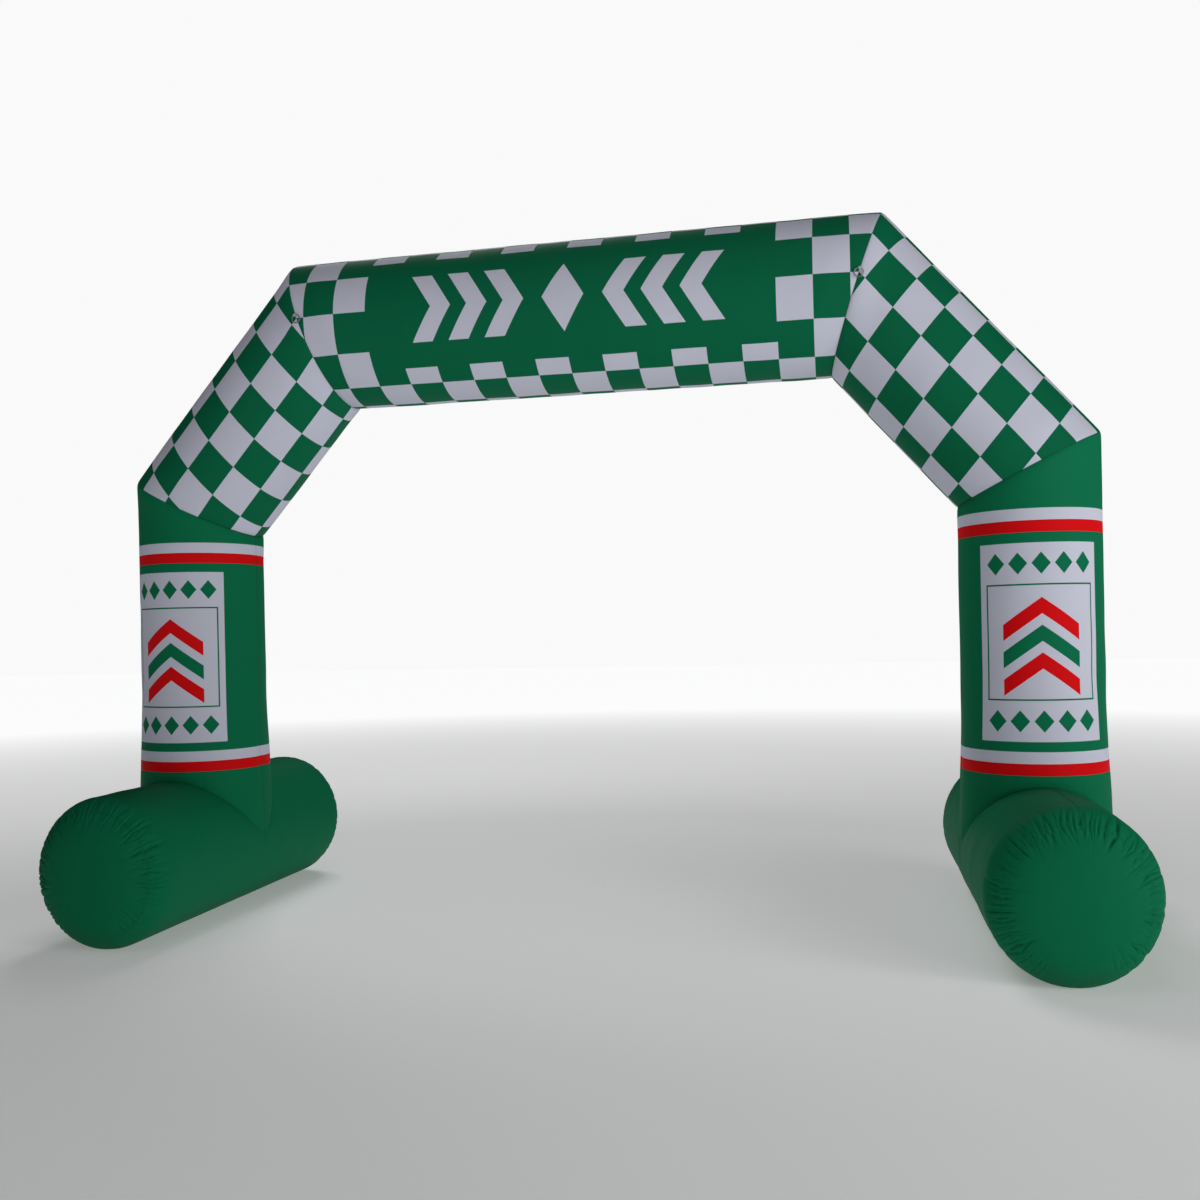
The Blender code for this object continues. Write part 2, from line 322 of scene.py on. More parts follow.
@dataclass(frozen=True)
class TubeLine:
    """A round tube: its axis, the direction called outward and its radius."""

    axis: np.ndarray
    out: np.ndarray
    radius: float

    def radial(self, angle: np.ndarray) -> np.ndarray:
        """Returns unit vectors at angles from the front towards the outward direction."""
        return FRONT * np.cos(angle)[..., None] + self.out * np.sin(angle)[..., None]


@dataclass(frozen=True)
class Mitre:
    """The flat seam of two tubes that meet at a corner.

    It holds the corner and the line across it, and runs through the outer point where the two
    outlines cross, so both tubes are cut to ovals of one height.
    """

    corner: np.ndarray
    first: TubeLine
    second: TubeLine

    @property
    def normal(self) -> np.ndarray:
        """Returns the unit normal of the seam's plane."""
        first, second = self.first, self.second
        gap = second.out * second.radius - first.out * first.radius
        axes = np.column_stack((first.axis, -second.axis))
        along = np.linalg.solve(axes[[0, 2]], gap[[0, 2]])[0]
        rise = first.out * first.radius + first.axis * along
        normal = np.array((-rise[2], 0.0, rise[0]))
        return normal / np.linalg.norm(normal)

    @property
    def half_width(self) -> float:
        """Returns the half width of the seam before it is drawn in."""
        return (self.first.radius + self.second.radius) / 2.0

    def cut(self, tube: TubeLine, angle: np.ndarray) -> np.ndarray:
        """Returns where the generators of a tube meet the seam's plane.

        Args:
            tube: One of the two tubes.
            angle: The generators' angles.

        Returns:
            A point for each angle.
        """
        base = tube.radial(angle) * tube.radius
        along = (base @ self.normal) / float(tube.axis @ self.normal)
        return self.corner + base - tube.axis * along[..., None]


@dataclass
class HalfArch:
    """Lines and seams of one half of the arch."""

    side: Side

    @property
    def top(self) -> np.ndarray:
        """Returns the corner between the beam and the diagonal."""
        return np.array((self.side.value * SIZES.beam_corner_x, 0.0, SIZES.beam_axis_z))

    @property
    def low(self) -> np.ndarray:
        """Returns the corner between the diagonal and the leg."""
        return np.array((self.side.value * SIZES.leg_axis_x, 0.0, SIZES.leg_corner_z))

    @property
    def beam(self) -> TubeLine:
        """Returns the beam, leading away from the middle."""
        return TubeLine(RIGHT * self.side.value, UP, SIZES.beam_radius)

    @property
    def diagonal(self) -> TubeLine:
        """Returns the diagonal, leading down."""
        slope = self.low - self.top
        slope = slope / np.linalg.norm(slope)
        out = np.array((-slope[2], 0.0, slope[0])) * self.side.value
        return TubeLine(slope, out, SIZES.diagonal_radius)

    @property
    def leg(self) -> TubeLine:
        """Returns the leg, leading down."""
        return TubeLine(-UP, RIGHT * self.side.value, SIZES.leg_radius)

    @property
    def upper_seam(self) -> Mitre:
        """Returns the seam between the beam and the diagonal."""
        return Mitre(self.top, self.beam, self.diagonal)

    @property
    def lower_seam(self) -> Mitre:
        """Returns the seam between the diagonal and the leg."""
        return Mitre(self.low, self.diagonal, self.leg)


@dataclass(frozen=True)
class RoundedEnd:
    """The outline of a foot's end, from the plain tube over the cap's seam to the tip.

    Places are runs along the outline in metres: 0 at the seam, positive towards the tip.
    """

    samples: int = 4001

    def _table(self) -> tuple[np.ndarray, np.ndarray, np.ndarray]:
        """Returns runs with the girth's share and the depth beyond the plain tube at each."""
        turn = np.linspace(0.0, QUARTER_TURN, self.samples)
        power = 2.0 / SIZES.end_squareness
        share = np.maximum(np.cos(turn), 0.0) ** power
        depth = np.sin(turn) ** power * SIZES.end_depth
        step = np.hypot(np.diff(share) * SIZES.foot_girth_radius, np.diff(depth))
        run = np.concatenate(((0.0,), np.cumsum(step)))
        return run - float(np.interp(-SIZES.cap_share, -share, run)), share, depth

    @property
    def tip_run(self) -> float:
        """Returns the run from the seam to the tip."""
        return float(self._table()[0][-1])

    @property
    def tube_run(self) -> float:
        """Returns the run, below zero, where the plain tube begins."""
        return float(self._table()[0][0])

    def at(self, run: np.ndarray) -> tuple[np.ndarray, np.ndarray, np.ndarray, np.ndarray]:
        """Returns the outline at some runs.

        Args:
            run: Runs along the outline.

        Returns:
            Shares of the girth, distances from the foot's middle, and the normal's two parts:
            away from the axis and towards the tip.
        """
        runs, shares, depths = self._table()
        share = np.interp(run, runs, shares)
        depth = np.interp(run, runs, depths) + np.minimum(run - runs[0], 0.0)
        away = np.interp(run, runs, np.gradient(depths, runs))
        ahead = np.interp(run, runs, -np.gradient(shares, runs) * SIZES.foot_girth_radius)
        size = np.hypot(away, ahead)
        middle = SIZES.foot_half_length - SIZES.end_depth + depth
        return share, middle, away / size, ahead / size


# ---- Cloth sections ----


@dataclass
class ClothSection:
    """A closed section of the arch, sewn from one flat gridded panel.

    A subclass gives the panel's shape in surface(). node is the solid that the section stands
    for, and calm_reach the distance from a seam within which the unevenness fades.
    """

    node: str
    columns: int = 288
    calm_reach: float = 0.16
    smooth_angle_deg: float = 60.0
    weld_reach: float = 0.00002
    closing_inset: float = 0.0002

    def surface(self) -> ClothSurface:
        """Returns the rolled panel."""
        raise NotImplementedError

    def sew(self, material: bpy.types.Material, slot: Slot) -> None:
        """Cuts the panel, rolls it, sews its edges and dresses it.

        Args:
            material: The finish of the cloth.
            slot: The record's slot of that finish; not used.
        """
        rolled = self.surface()
        bpy.ops.object.select_all(action="DESELECT")
        rows = len(rolled.places) - 1
        bpy.ops.mesh.primitive_grid_add(
            x_subdivisions=self.columns, y_subdivisions=rows, size=2.0, calc_uvs=True
        )
        piece = bpy.context.object
        piece.name = self.node + "_cloth"
        piece.data.name = piece.name
        self._roll(piece.data, rolled)
        bpy.ops.object.mode_set(mode="EDIT")
        bpy.ops.mesh.select_all(action="SELECT")
        bpy.ops.mesh.remove_doubles(threshold=self.weld_reach)
        bpy.ops.mesh.normals_make_consistent(inside=False)
        bpy.ops.object.mode_set(mode="OBJECT")
        bpy.ops.object.shade_smooth_by_angle(angle=math.radians(self.smooth_angle_deg))
        piece.data.materials.append(material)
        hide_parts(self.node)
        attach(piece, ROOT_BODY)
        LOG.info("%s: %d faces", piece.name, len(piece.data.polygons))

    def _roll(self, mesh: bpy.types.Mesh, rolled: ClothSurface) -> None:
        """Moves the flat grid's points to their places and writes both maps.

        Args:
            mesh: The flat grid, from -1 to 1 both ways.
            rolled: The rolled panel.
        """
        flat = np.empty(len(mesh.vertices) * 3)
        mesh.vertices.foreach_get("co", flat)
        steps = (self.columns, len(rolled.places) - 1)
        grid = (flat.reshape(-1, 3)[:, :2] + 1.0) * 0.5 * steps
        column, row = np.rint(grid).astype(int).T
        mesh.vertices.foreach_set("co", rolled.places[row, column].ravel())
        corners = np.empty(len(mesh.loops), dtype=np.int32)
        mesh.loops.foreach_get("vertex_index", corners)
        mesh.uv_layers[0].name = CLOTH_MAP
        mesh.uv_layers.new(name=SEAM_MAP)
        for name, values in ((CLOTH_MAP, rolled.cloth), (SEAM_MAP, rolled.seam)):
            mesh.uv_layers[name].data.foreach_set("uv", values[row, column][corners].ravel())
        mesh.update()

    def turns(self, start: float = -math.pi) -> np.ndarray:
        """Returns the angles of the columns, once round from a starting angle."""
        return start + FULL_TURN * np.arange(self.columns + 1) / self.columns


@dataclass
class SeamEnd:
    """One end of a tube section, at a mitre seam."""

    seam: Mitre
    puckers: Puckers
    draw_length: float = 0.011
    blend_length: float = 0.200

    def shift(self, tube: TubeLine, angle: np.ndarray, distance: np.ndarray) -> np.ndarray:
        """Returns how far the cloth moves from the plain tube beside the seam.

        Args:
            tube: The tube that the section follows.
            angle: Angles of the generators.
            distance: Distances from the seam along the generators, one row for each station.

        Returns:
            Shifts in metres, one for each station and generator.
        """
        widen = self.seam.half_width - tube.radius
        blend = 1.0 - smooth_step(distance / self.blend_length)
        across = FRONT * (widen * blend * np.cos(angle))[..., None]
        inward = self.seam.corner - self.seam.cut(tube, angle)
        draw = SIZES.seam_draw * np.exp(-distance / self.draw_length)
        draw = draw + self.puckers.relief(angle, distance, tube.radius)
        return across + inward * (draw / tube.radius)[..., None]


@dataclass
class MitredTube(ClothSection):
    """A tube section between two mitre seams. ring_tilt leans the rings of its print."""

    tube: TubeLine | None = None
    start: SeamEnd | None = None
    end: SeamEnd | None = None
    undulation: Undulation | None = None
    ring_tilt: float = 0.0

    def surface(self) -> ClothSurface:
        """Returns the rolled panel, closed at both seams."""
        tube, start, end = self.tube, self.start, self.end
        angle = self.turns()
        first = start.seam.cut(tube, angle)
        length = (end.seam.cut(tube, angle) - first) @ tube.axis
        along = rows_between_seams(length)
        back = length - along
        nearest = np.minimum(along, back)
        angles = np.broadcast_to(angle, along.shape)
        inner = SIZES.seam_gap / 2.0 + along * (1.0 - SIZES.seam_gap / length)
        places = first + tube.axis * inner[..., None]
        places = places + start.shift(tube, angles, along) + end.shift(tube, angles, back)
        rise = self.undulation.relief(angles, along) * smooth_step(nearest / self.calm_reach)
        places = places + tube.radial(angles) * rise[..., None]
        girth = tube.radius * angles
        lean = self.ring_tilt * tube.radius * np.sin(angles)
        run = (first - start.seam.corner) @ tube.axis + along + lean
        cloth = np.stack((run, girth), axis=-1)
        panel = ClothSurface(places, cloth, np.stack((girth, nearest), axis=-1))
        inset = tube.axis * self.closing_inset
        return panel.closed(start.seam.corner + inset, end.seam.corner - inset)


@dataclass
class Leg(ClothSection):
    """An upright tube from its mitre seam down to the saddle seam on the foot.

    Its cloth is closed by a sewn seam down the side that faces the gateway.
    """

    half: HalfArch | None = None
    undulation: Undulation | None = None
    draw_width: float = 0.024
    pucker_start: float = 0.020
    side_groove: float = 0.0014
    side_groove_width: float = 0.006

    def surface(self) -> ClothSurface:
        """Returns the rolled panel, closed at the mitre and along the foot's top."""
        tube = self.half.leg
        head = SeamEnd(self.half.lower_seam, LOWER_PUCKERS)
        angle = self.turns()
        first = head.seam.cut(tube, angle)
        rim = SIZES.leg_foot_radius - SIZES.saddle_draw
        drawn_in = SIZES.seam_gap - SIZES.saddle_draw
        bottom = SIZES.foot_axis_z + SIZES.foot_rise(rim * np.sin(angle), drawn_in)
        length = first[:, 2] - bottom
        along = rows_between_seams(length)
        steep = np.gradient(bottom, rim * (angle[1] - angle[0]))
        back = (length - along) / np.hypot(1.0, steep)
        nearest = np.minimum(along, back)
        angles = np.broadcast_to(angle, along.shape)
        side = np.abs(angles - INNER_SIDE) * tube.radius
        widening = SIZES.leg_foot_radius - tube.radius
        flare = widening * (1.0 - smooth_step(back / SIZES.leg_flare_height))
        draw = SIZES.saddle_draw * valley(back, self.draw_width)
        pucker = SADDLE_PUCKERS.relief(angles, back, tube.radius)
        draw = draw + pucker * smooth_step(back / self.pucker_start)
        plain = self.undulation.relief(angles, along)
        plain = plain - self.side_groove * valley(side, self.side_groove_width)
        rise = flare - draw + plain * smooth_step(nearest / self.calm_reach)
        inner = along + (1.0 - along / length) * SIZES.seam_gap / 2.0
        places = first + tube.axis * inner[..., None] + head.shift(tube, angles, along)
        places = places + tube.radial(angles) * rise[..., None]
        girth = tube.radius * angles
        cloth = np.stack((places[..., 2], girth), axis=-1)
        run = np.where(side < nearest, along, girth)
        panel = ClothSurface(places, cloth, np.stack((run, np.minimum(nearest, side)), axis=-1))
        ridge = places[-1] * (RIGHT + UP)
        return panel.closed(head.seam.corner + tube.axis * self.closing_inset, ridge)


def foot_outline(angle: np.ndarray, share: np.ndarray) -> np.ndarray:
    """Returns the reach of a foot's oval in each direction from its axis, flat along the floor.

    Args:
        angle: Directions from +X upwards, in radians.
        share: The oval's size against the plain tube's.

    Returns:
        Distances from the axis.
    """
    across = np.cos(angle) / SIZES.foot_half_width
    upright = np.sin(angle) / SIZES.foot_half_height
    down = np.maximum(-np.sin(angle), 1e-6)
    return np.minimum(share / np.hypot(across, upright), SIZES.foot_axis_z / down)


def foot_points(
    side: Side, angle: np.ndarray, radius: np.ndarray, depth: np.ndarray
) -> np.ndarray:
    """Returns points about a foot's axis, none of them below the floor.

    Args:
        side: The foot's side of the arch.
        angle: Directions from +X upwards.
        radius: Distances from the axis.
        depth: Places along it, negative towards the front.

    Returns:
        The points, with x, y and z last.
    """
    across = side.value * SIZES.leg_axis_x + radius * np.cos(angle)
    height = np.maximum(SIZES.foot_axis_z + radius * np.sin(angle), 0.0)
    return np.stack((across, depth, height), axis=-1)


def foot_middle(side: Side, ring: np.ndarray) -> np.ndarray:
    """Returns the point of a foot's axis at the mean depth of a ring of points."""
    return np.array((side.value * SIZES.leg_axis_x, ring[:, 1].mean(), SIZES.foot_axis_z))


def pressed(sunk: np.ndarray, angle: np.ndarray) -> np.ndarray:
    """Returns the relief of a foot with most of it pressed flat near the floor."""
    floor_sine, fade, least = -0.97, 0.25, 0.10
    return sunk * np.clip((np.sin(angle) - floor_sine) / fade, least, 1.0)


def rim_relief(angle: np.ndarray, distance: np.ndarray, side: Side, end: End) -> np.ndarray:
    """Returns how far the cloth sinks in the gathers at a foot's end.

    Args:
        angle: Directions round the foot.
        distance: Distances from the cap's seam.
        side: The foot's side of the arch, which sets its gathers apart from the others'.
        end: The end of the foot, which does so too.

    Returns:
        Depths in metres. Both sides of the seam agree where they meet.
    """
    draw_length, ease_length, seam_ease = 0.010, 0.035, 0.58
    radius = SIZES.foot_girth_radius * SIZES.cap_share
    ease = seam_ease + (1.0 - seam_ease) * smooth_step(distance / ease_length)
    shift = 3 * (side.value + 1) + (end.value + 1)
    sunk = SIZES.cap_draw * np.exp(-distance / draw_length)
    for gathers in (RIM_PUCKERS, RIM_FINE_PUCKERS):
        own = replace(gathers, seed=gathers.seed + shift)
        sunk = sunk + own.relief(angle, distance, radius) * ease
    return sunk


@dataclass
class Foot(ClothSection):
    """A tube that lies from front to back and carries a leg on its saddle.

    Its cloth is closed by a sewn seam along the top, and a soft crease runs down each flank
    from the saddle. Its rows stand closest beside the cap seams and in the rim band, where
    the saddle seam crosses the top.
    """

    side: Side = Side.LEFT
    columns: int = 640
    calm_reach: float = 0.20
    saddle_calm_reach: float = 0.12
    undulation: Undulation | None = None
    outline: RoundedEnd = RoundedEnd()
    end_rows: SeamRows = SeamRows(0.30, 0.006, 0.016)
    saddle_rows: int = 18
    rim_band: Span = (0.36, 0.50)
    rim_step: float = 0.010
    plain_step: float = 0.027
    plain_margins: Span = (0.018, 0.008)
    crown_turn: float = 0.045
    crown_groove: float = 0.0035
    crown_groove_width: float = 0.008
    crown_start: Span = (0.44, 0.54)
    flank_crease: float = 0.0050
    flank_crease_width: float = 0.011
    flank_top: float = 0.060
    flank_length: float = 0.110
    flank_fades: Span = (0.2, 0.5)
    draw_width: float = 0.022
    pucker_start: float = 0.020
    saddle_samples: int = 361

    def stations(self) -> np.ndarray:
        """Returns distances from the middle to one cap seam, as runs along the outline."""
        near = self.end_rows.stops()
        seam = SIZES.foot_half_length - SIZES.end_depth - self.outline.tube_run
        low, high = self.rim_band
        saddle = np.linspace(0.0, low, self.saddle_rows, endpoint=False)
        rim = np.arange(low, high, self.rim_step)
        after, before = self.plain_margins
        plain = np.arange(rim[-1] + after, seam - near[-1] - before, self.plain_step)
        return np.concatenate((saddle, rim, plain, seam - near[::-1]))

    def surface(self) -> ClothSurface:
        """Returns the rolled panel, closed at both ends."""
        half = self.stations()
        run = np.concatenate((-half[:0:-1], half))[:, None]
        run, angle = np.broadcast_arrays(run, self.turns(-QUARTER_TURN))
        back = half[-1] - np.abs(run)
        share, middle, away, ahead = self.outline.at(-back)
        depth = np.sign(run) * middle
        radius = foot_outline(angle, share)
        spread, under = self._saddle_spread(angle, depth, radius)
        ends = [rim_relief(angle, back, self.side, end) for end in End]
        sunk = np.where(run < 0.0, *ends) + self._saddle(angle, depth, radius, spread)
        sunk = sunk + self._crown(angle, depth) + self._flanks(angle, depth)
        calm = smooth_step(back / self.calm_reach) * smooth_step(spread / self.saddle_calm_reach)
        sunk = pressed(sunk - self.undulation.relief(angle, depth) * calm, angle)
        depth = (depth - np.sign(run) * sunk * ahead) * (1.0 - SIZES.seam_gap / 2.0)
        places = foot_points(self.side, angle, radius - sunk * away, depth)
        girth = SIZES.foot_girth_radius * angle
        crown = np.abs(self._crown_offset(angle))
        nearest = np.minimum(back, np.where(under, SIZES.leg_radius, spread))
        seam_run = np.where(crown < nearest, run, girth)
        seam = np.stack((seam_run, np.minimum(nearest, crown)), axis=-1)
        panel = ClothSurface(places, np.stack((run, girth), axis=-1), seam)
        return panel.closed(*(foot_middle(self.side, places[row]) for row in (0, -1)))

    def _crown_offset(self, angle: np.ndarray) -> np.ndarray:
        """Returns how far round the tube a place lies from the top seam."""
        top = QUARTER_TURN - self.side.value * self.crown_turn
        return (angle - top) * SIZES.foot_girth_radius

    def _crown(self, angle: np.ndarray, depth: np.ndarray) -> np.ndarray:
        """Returns how far the cloth sinks along the top seam, outside the saddle."""
        low, high = self.crown_start
        line = valley(self._crown_offset(angle), self.crown_groove_width)
        return self.crown_groove * line * smooth_step((np.abs(depth) - low) / (high - low))

    def _flanks(self, angle: np.ndarray, depth: np.ndarray) -> np.ndarray:
        """Returns how far the cloth sinks in the creases below the saddle's lowest points."""
        height = SIZES.foot_half_height * np.sin(angle)
        drop = (self.flank_top - height) / self.flank_length
        upper, lower = self.flank_fades
        fade = smooth_step(drop / upper) * smooth_step((1.0 - drop) / lower)
        return self.flank_crease * fade * valley(depth, self.flank_crease_width)

    def _saddle_line(self) -> np.ndarray:
        """Returns points of the saddle seam about the foot's middle, before it is drawn in."""
        turn = np.linspace(0.0, FULL_TURN, self.saddle_samples)
        rim = SIZES.leg_foot_radius - SIZES.saddle_draw
        widen = SIZES.foot_half_width / (SIZES.foot_half_width - SIZES.saddle_draw)
        across = np.cos(turn) * rim * widen
        return np.stack((across, np.sin(turn) * rim, SIZES.foot_rise(across)), axis=-1)

    def _saddle_spread(
        self, angle: np.ndarray, depth: np.ndarray, radius: np.ndarray
    ) -> tuple[np.ndarray, np.ndarray]:
        """Returns how far each place lies from the saddle seam, and which lie under the leg.

        Args:
            angle: Directions round the foot.
            depth: Places along the foot.
            radius: Distances from its axis.

        Returns:
            Distances in metres, zero under the leg, and the places under the leg.
        """
        places = np.stack((radius * np.cos(angle), depth, radius * np.sin(angle)), axis=-1)
        line = self._saddle_line()
        spread = np.empty(angle.shape)
        for row, points in enumerate(places):
            spread[row] = np.linalg.norm(points[:, None] - line[None], axis=-1).min(axis=1)
        reach = np.hypot(places[..., 0] / line[:, 0].max(), places[..., 1] / line[:, 1].max())
        under = (reach < 1.0) & (places[..., 2] > 0.0)
        return np.where(under, 0.0, spread), under

    def _saddle(
        self, angle: np.ndarray, depth: np.ndarray, radius: np.ndarray, spread: np.ndarray
    ) -> np.ndarray:
        """Returns how far the foot sinks under the leg and along the saddle seam.

        Args:
            angle: Directions round the foot.
            depth: Places along the foot.
            radius: Distances from its axis.
            spread: Distances from the saddle seam.

        Returns:
            Depths in metres.
        """
        turn = np.arctan2(depth, radius * np.cos(angle))
        pucker = SADDLE_PUCKERS.relief(turn, spread, SIZES.leg_radius)
        pucker = pucker * smooth_step(spread / self.pucker_start)
        return SIZES.saddle_draw * valley(spread, self.draw_width) + pucker


@dataclass
class EndCap(ClothSection):
    """The gathered middle of a foot's end: a disc of cloth drawn in to the tube and blown out.

    shortening is how many times shorter the gathers are on the disc than on the tube.
    """

    side: Side = Side.LEFT
    end: End = End.FRONT
    columns: int = 640
    shortening: float = 1.55
    outline: RoundedEnd = RoundedEnd()
    rim_rows: SeamRows = SeamRows(0.20, 0.0045, 0.012)
    middle_rows: int = 13

    def surface(self) -> ClothSurface:
        """Returns the rolled disc with its gathers, closed against the foot."""
        near = self.rim_rows.stops()
        middle = np.linspace(near[-1], self.outline.tip_run, self.middle_rows)[1:]
        run = np.concatenate((near, middle))[:, None]
        run, angle = np.broadcast_arrays(run, self.turns(-QUARTER_TURN))
        share, reach, away, ahead = self.outline.at(run)
        sunk = rim_relief(angle, run * self.shortening, self.side, self.end)
        sunk = pressed(sunk, angle)
        sunk[-1] = 0.0
        radius = foot_outline(angle, share) - sunk * away
        radius[-1] = 0.0
        depth = self.end.value * (reach + SIZES.seam_gap - sunk * ahead)
        places = foot_points(self.side, angle, radius, depth)
        spread = self.outline.tip_run - run
        cloth = np.stack((spread * np.cos(angle), spread * np.sin(angle)), axis=-1)
        seam = np.stack((SIZES.foot_girth_radius * angle, run), axis=-1)
        return ClothSurface(places, cloth, seam).closed(foot_middle(self.side, places[0]))


# ---- Node arithmetic ----


class Field:
    """A value that varies over a surface, kept as a node's output socket."""

    def __init__(self, tree: bpy.types.NodeTree, socket: bpy.types.NodeSocket) -> None:
        """Wraps an output socket of a node tree."""
        self.tree = tree
        self.socket = socket

    def feed(self, socket: bpy.types.NodeSocket) -> None:
        """Links the value to an input socket."""
        self.tree.links.new(self.socket, socket)

    def apply(self, operation: str, *others: "Field | float") -> "Field":
        """Returns the outcome of a math node.

        Args:
            operation: The node's operation.
            others: The values after this one.

        Returns:
            The node's result.
        """
        node = self.tree.nodes.new("ShaderNodeMath")
        node.operation = operation
        for socket, value in zip(node.inputs, (self, *others)):
            fill(socket, value)
        return Field(self.tree, node.outputs[0])

    def __add__(self, other: "Field | float") -> "Field":
        """Returns the sum."""
        return self.apply("ADD", other)

    def __sub__(self, other: "Field | float") -> "Field":
        """Returns the difference."""
        return self.apply("SUBTRACT", other)

    def __mul__(self, other: "Field | float") -> "Field":
        """Returns the product."""
        return self.apply("MULTIPLY", other)

    def __truediv__(self, other: "Field | float") -> "Field":
        """Returns the quotient."""
        return self.apply("DIVIDE", other)

    def size(self) -> "Field":
        """Returns the value without its sign."""
        return self.apply("ABSOLUTE")

    def whole(self) -> "Field":
        """Returns the whole number below the value."""
        return self.apply("FLOOR")

    def part(self) -> "Field":
        """Returns what lies above the whole number."""
        return self.apply("FRACT")

    def below(self, limit: float) -> "Field":
        """Returns 1 below a limit and 0 elsewhere."""
        return self.apply("LESS_THAN", limit)

    def within(self, low: float, high: float) -> "Field":
        """Returns 1 between two limits and 0 elsewhere."""
        return self.apply("GREATER_THAN", low) * self.below(high)

    def either(self, other: "Field | float") -> "Field":
        """Returns the larger of two values."""
        return self.apply("MAXIMUM", other)

    def odd(self) -> "Field":
        """Returns 1 where a whole number is odd and 0 where it is even."""
        return (self * 0.5).part().apply("GREATER_THAN", 0.25)

    def inverse(self) -> "Field":
        """Returns 1 less the value."""
        return (self * -1.0) + 1.0


def fill(socket: bpy.types.NodeSocket, value: Field | Colour | float) -> None:
    """Links a field to an input socket, or sets the socket to a colour or a number."""
    if isinstance(value, Field):
        value.feed(socket)
    else:
        socket.default_value = (*value, 1.0) if isinstance(value, tuple) else value


class Paint:
    """A material in the making. Its patterns lie on the object's own coordinates or maps."""

    def __init__(self, name: str) -> None:
        """Starts a material."""
        self.material = bpy.data.materials.new(name)
        self.material.use_nodes = True
        self.tree = self.material.node_tree

    def node(self, kind: str, inputs: dict[str, Field | float] | None = None) -> bpy.types.Node:
        """Adds a node.

        Args:
            kind: The last part of its type's name.
            inputs: Values for some of its inputs.

        Returns:
            The node.
        """
        node = self.tree.nodes.new("ShaderNode" + kind)
        for name, value in (inputs or {}).items():
            fill(node.inputs[name], value)
        return node

    def place(self) -> Field:
        """Returns the object's own coordinates."""
        return Field(self.tree, self.node("TexCoord").outputs["Object"])

    def parts(self, vector: Field) -> list[Field]:
        """Returns the three values of a vector."""
        split = self.node("SeparateXYZ", {"Vector": vector})
        return [Field(self.tree, socket) for socket in split.outputs]

    def uv_pair(self, name: str) -> list[Field]:
        """Returns the two values of a UV map."""
        node = self.node("UVMap")
        node.uv_map = name
        return self.parts(Field(self.tree, node.outputs[0]))[:2]

    def noise(self, scale: float, detail: float) -> Field:
        """Returns noise of a scale and an amount of detail."""
        inputs = {"Scale": scale, "Detail": detail, "Vector": self.place()}
        return Field(self.tree, self.node("TexNoise", inputs).outputs["Fac"])

    def mix(self, share: Field | float, first: Field | Colour, second: Field | Colour) -> Field:
        """Returns the mix of two colours.

        Args:
            share: The share of the second colour.
            first: The colour at 0.
            second: The colour at 1.

        Returns:
            The mixed colour.
        """
        node = self.node("Mix", {"Factor": share})
        node.data_type = "RGBA"
        colours = [socket for socket in node.inputs if socket.type == "RGBA"]
        for socket, value in zip(colours, (first, second)):
            fill(socket, value)
        return Field(self.tree, next(s for s in node.outputs if s.type == "RGBA"))

    def bump(self, height: Field, strength: float, distance: float, **under: Field) -> Field:
        """Returns the normal of a relief.

        Args:
            height: The relief's height.
            strength: How much of it shows.
            distance: The height that the value 1 stands for.
            under: The Normal of a relief that lies under this one, where there is one.

        Returns:
            The normal.
        """
        inputs = {"Height": height, "Strength": strength, "Distance": distance, **under}
        return Field(self.tree, self.node("Bump", inputs).outputs[0])

    def finish(self, inputs: dict[str, Field | Colour | float]) -> bpy.types.Material:
        """Returns the material, with its shader's inputs filled by name."""
        shader = self.tree.nodes["Principled BSDF"]
        for name, value in inputs.items():
            fill(shader.inputs[name], value)
        return self.material


# ---- Prints ----

TOP_LINE = math.radians(31.6)
ROW_TURN = math.radians(30.0)


def rows_down(girth: Field, radius: float) -> Field:
    """Returns the number of chequer rows below the top line; twelve rows go round a tube."""
    return (girth - radius * TOP_LINE) / -(radius * ROW_TURN)


@dataclass(frozen=True)
class Inks:
    """Where the print is white and where it is red; elsewhere the cloth is green."""

    white: Field | float = 0.0
    red: Field | float = 0.0


@dataclass(frozen=True)
class PlainPrint:
    """Green cloth with no print, and what every print is made from."""

    def inks(self, along: Field, girth: Field) -> Inks:
        """Returns the inks at metres along the section and round it; here there are none."""
        return Inks()


